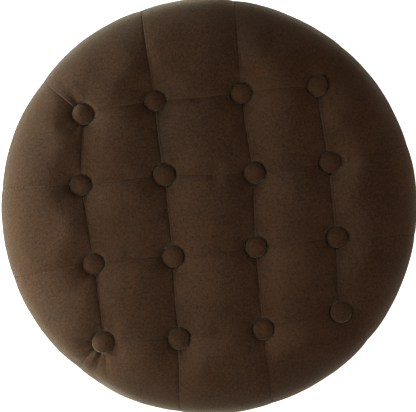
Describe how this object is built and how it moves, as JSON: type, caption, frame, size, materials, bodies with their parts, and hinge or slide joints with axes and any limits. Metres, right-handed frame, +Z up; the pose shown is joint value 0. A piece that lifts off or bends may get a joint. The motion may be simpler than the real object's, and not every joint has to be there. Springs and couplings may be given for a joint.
{
  "type": "round storage ottoman",
  "caption": "Round upholstered storage ottoman: a deep-buttoned padded lid lifts off a fabric-covered drum on turned wooden feet.",
  "frame": {"origin": "on the floor, under the middle of the drum", "axes": "+Z up; +X along the rows of buttons on the lid; +Y across the rows, towards the first row"},
  "size_m": [0.55, 0.55, 0.4218],
  "materials": {
    "velvet": "matte",
    "foam": "matte",
    "plywood": "matte",
    "hardboard": "matte",
    "pine": "matte",
    "dark_wood": "satin",
    "zinc_steel": "satin",
    "steel_wire": "satin",
    "twine": "matte",
    "washer_plastic": "matte",
    "lining": "matte",
    "braid": "matte",
    "cambric": "matte",
    "pad_rubber": "matte"
  },
  "bodies": {
    "base": {"base_board": "plywood", "drum_cover": "velvet", "wall_padding": "foam", "outer_wall": "hardboard", "inner_wall": "hardboard", "top_hoop": "plywood", "post_1": "pine", "post_2": "pine", "post_3": "pine", "post_4": "pine", "post_5": "pine", "post_6": "pine", "hoop_screws": "zinc_steel", "base_screws": "zinc_steel", "bay_lining": "lining", "bay_trim": "braid", "bay_floor": "lining", "dust_cover": "cambric", "dust_staples": "steel_wire", "foot_1": "dark_wood", "foot_2": "dark_wood", "foot_3": "dark_wood", "foot_4": "dark_wood", "foot_bolts": "zinc_steel", "tee_nuts": "zinc_steel", "foot_pads": "pad_rubber"},
    "lid": {"lid_cover": "velvet", "lid_foam": "foam", "lid_board": "plywood", "lid_lining": "lining", "locating_ring": "plywood", "ring_screws": "zinc_steel", "lid_staples": "steel_wire", "button_r1_c1": "velvet", "button_r1_c2": "velvet", "button_r1_c3": "velvet", "button_r1_c4": "velvet", "button_r2_c1": "velvet", "button_r2_c2": "velvet", "button_r2_c3": "velvet", "button_r2_c4": "velvet", "button_r3_c1": "velvet", "button_r3_c2": "velvet", "button_r3_c3": "velvet", "button_r3_c4": "velvet", "button_r4_c1": "velvet", "button_r4_c2": "velvet", "button_r4_c3": "velvet", "button_r4_c4": "velvet", "button_backs": "steel_wire", "tuft_twine": "twine", "twine_washers": "washer_plastic"}
  },
  "joints": [
    {"name": "lid_lift", "type": "slide", "parent": "base", "child": "lid", "axis": [0, 0, 1], "range_m": [0, 0.3]}
  ]
}
